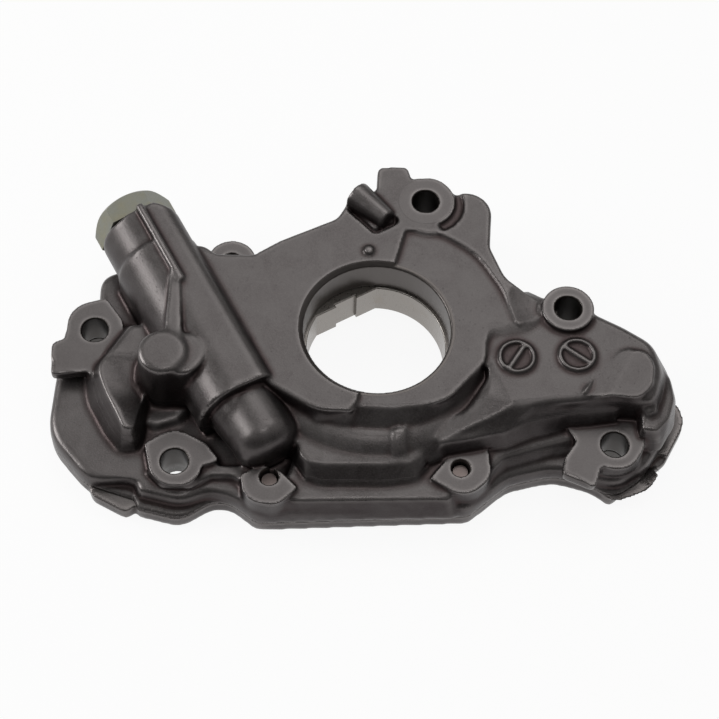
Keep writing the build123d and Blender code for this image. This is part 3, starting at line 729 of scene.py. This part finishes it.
def cast_skin(node, name, voxel, passes, held_at, softness_at, hidden_at, fit_at, blends=()):
    """A softened copy of a CAD node, remeshed finely.

    Its cast corners are rounded, and its machined faces are kept on the solid.
    """
    source = nodes[node]
    solid = source.data.copy()
    solid.transform(source.matrix_world)
    corners = [tuple(v.co / MM) for v in solid.vertices]
    faces = [tuple(face.vertices) for face in solid.polygons]
    tree = BVHTree.FromPolygons(corners, faces)
    piece = join_with_blends(name, corners, faces, blends)
    remesh = piece.modifiers.new("remesh", "REMESH")
    remesh.mode = "VOXEL"
    remesh.voxel_size = voxel * MM
    fine = applied(piece)

    count = len(fine.vertices)
    places = read_points(fine.vertices, "co").astype(float) / MM
    ends = np.empty(len(fine.edges) * 2, np.int32)
    fine.edges.foreach_get("vertices", ends)
    ends = ends.reshape(-1, 2).T

    held = held_at(places)
    hidden = hidden_at(places)
    places = np.where(held[:, None], places, fit_at(places))
    free = np.where(held, 0.0, softness_at(places))
    for _ in range(2):
        free = np.minimum(free, 0.4 + 0.6 * spread(count, ends, free[:, None])[:, 0])
    for _ in range(passes):
        places += 0.5 * free[:, None] * (spread(count, ends, places) - places)
    for i in np.flatnonzero(held):
        near = tree.find_nearest(Vector(places[i]), 1.0)[0]
        if near is not None:
            places[i] = near

    fine.vertices.foreach_set("co", (places * MM).astype(np.float32).ravel())
    fine.update()
    mark_edges(fine, places, ends)
    piece.data = fine
    thin_out(piece, hidden)
    return piece


body_casting = cast_skin(
    "pump_body", "body_casting", BODY_VOXEL, BODY_PASSES,
    body_held, body_softness, body_hidden, body_fit, body_blends())
cover_casting = cast_skin(
    "rear_cover", "cover_casting", COVER_VOXEL, COVER_PASSES,
    cover_held, all_soft, cover_hidden, cover_fit)

for piece, node, body, slot, material in (
    (body_casting, "pump_body", "housing", "cast_body", CAST),
    (cover_casting, "rear_cover", "housing", "cast_cover", COVER),
):
    piece.data.materials.clear()
    piece.data.materials.append(material)
    piece.data.shade_smooth()
    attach(piece, body)
    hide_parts(node)

for node, material in (
    ("drive_rotor", SINTERED),
    ("driven_rotor", SINTERED),
    ("relief_plug", ZINC),
    ("plug_o_ring", RUBBER),
    ("relief_piston", VALVE),
    ("relief_spring", SPRING),
    ("cover_screws", SCREW),
    ("cover_dowels", SCREW),
):
    for place in nodes[node].material_slots:
        place.material = material


# ---------------------------------------------------------------- stage, light and camera

def floor_paper():
    """White paper: mostly plain white to the camera, with a faint share of its lit surface in it."""
    white, plain_share = 0.93, 0.92
    s = Shader("floor_paper")
    tone = s.noise(400.0, 2.0, 0.5)
    s.set(Base_Color=s.mix(tone, (white,) * 3, (white * 0.99,) * 3), Roughness=0.9)
    rays = s.node("ShaderNodeLightPath").outputs
    seen = s.math("MAXIMUM", rays["Is Camera Ray"], rays["Is Glossy Ray"])
    seen = s.math("MAXIMUM", seen, rays["Is Transmission Ray"])
    glow = s.node("ShaderNodeEmission")
    glow.inputs["Color"].default_value = (1.0, 1.0, 1.0, 1.0)
    glow.inputs["Strength"].default_value = 1.0
    mix = s.node("ShaderNodeMixShader")
    s.feed(mix.inputs[0], s.math("MULTIPLY", seen, plain_share))
    s.feed(mix.inputs[1], s.bsdf.outputs["BSDF"])
    s.feed(mix.inputs[2], glow.outputs["Emission"])
    s.feed(s.output.inputs["Surface"], mix.outputs["Shader"])
    return s.material


def make_floor():
    """A large sheet just below the pump."""
    side, drop = 8.0, 0.0002
    mesh = bpy.data.meshes.new("floor")
    corners = [(-side, -side, 0), (side, -side, 0), (side, side, 0), (-side, side, 0)]
    mesh.from_pydata(corners, [], [(0, 1, 2, 3)])
    mesh.materials.append(floor_paper())
    floor = bpy.data.objects.new("floor", mesh)
    floor.location.z = -drop
    bpy.context.scene.collection.objects.link(floor)


def area_lamp(name, place, size, power):
    """A rectangular lamp that looks at the middle of the pump."""
    lamp = bpy.data.lights.new(name, "AREA")
    lamp.shape = "RECTANGLE"
    lamp.size, lamp.size_y = size
    lamp.energy = power
    made = bpy.data.objects.new(name, lamp)
    made.location = place
    made.rotation_euler = (-Vector(place)).to_track_quat("-Z", "Y").to_euler()
    bpy.context.scene.collection.objects.link(made)


def map_range(tree, value, low, high, to_low, to_high):
    made = tree.nodes.new("ShaderNodeMapRange")
    tree.links.new(value, made.inputs["Value"])
    for name, number in (("From Min", low), ("From Max", high), ("To Min", to_low), ("To Max", to_high)):
        made.inputs[name].default_value = number
    return made.outputs[0]


def make_light():
    """A soft room, brightest overhead and dimmer behind the camera, with three lamps."""
    world = bpy.data.worlds.new("studio")
    world.use_nodes = True
    tree = world.node_tree
    back = tree.nodes["Background"]
    back.inputs["Color"].default_value = (1.0, 0.99, 0.98, 1.0)
    way = tree.nodes.new("ShaderNodeSeparateXYZ")
    tree.links.new(tree.nodes.new("ShaderNodeTexCoord").outputs["Generated"], way.inputs[0])
    both = tree.nodes.new("ShaderNodeMath")
    both.operation = "MULTIPLY"
    tree.links.new(map_range(tree, way.outputs["Z"], 0.1, 0.85, 0.25, 0.60), both.inputs[0])
    tree.links.new(map_range(tree, way.outputs["Y"], -0.75, 0.25, 0.35, 1.0), both.inputs[1])
    tree.links.new(both.outputs[0], back.inputs["Strength"])
    bpy.context.scene.world = world
    area_lamp("key", (0.08, 0.60, 0.95), (0.80, 0.50), 2.0)
    area_lamp("left", (-1.00, 0.10, 0.55), (0.60, 0.40), 5.0)
    area_lamp("top", (0.00, -0.12, 1.20), (0.35, 0.25), 0.9)


CAMERA_LIFT = math.radians(59.624)
CAMERA_ROLL = math.radians(2.432)
CAMERA_REACH = 0.6475
CAMERA_AIM = Vector((-0.00518, -0.006161, 0.020))
SENSOR = 36.0
PHOTO_PIXELS = 719.0
FOCAL_PIXELS = 2000.0


def make_camera():
    look = Vector((0.0, math.cos(CAMERA_LIFT), -math.sin(CAMERA_LIFT)))
    side = Vector((1.0, 0.0, 0.0))
    up = side.cross(look)
    across = side * math.cos(CAMERA_ROLL) + up * math.sin(CAMERA_ROLL)
    above = up * math.cos(CAMERA_ROLL) - side * math.sin(CAMERA_ROLL)
    turn = Matrix((across, above, -look)).transposed().to_4x4()
    lens = bpy.data.cameras.new("camera")
    lens.sensor_width = SENSOR
    lens.lens = SENSOR * FOCAL_PIXELS / PHOTO_PIXELS
    lens.clip_start, lens.clip_end = 0.01, 50.0
    camera = bpy.data.objects.new("camera", lens)
    camera.matrix_world = Matrix.Translation(CAMERA_AIM - look * CAMERA_REACH) @ turn
    bpy.context.scene.collection.objects.link(camera)
    bpy.context.scene.camera = camera


make_floor()
make_light()
make_camera()
bpy.context.scene.view_settings.view_transform = "Standard"
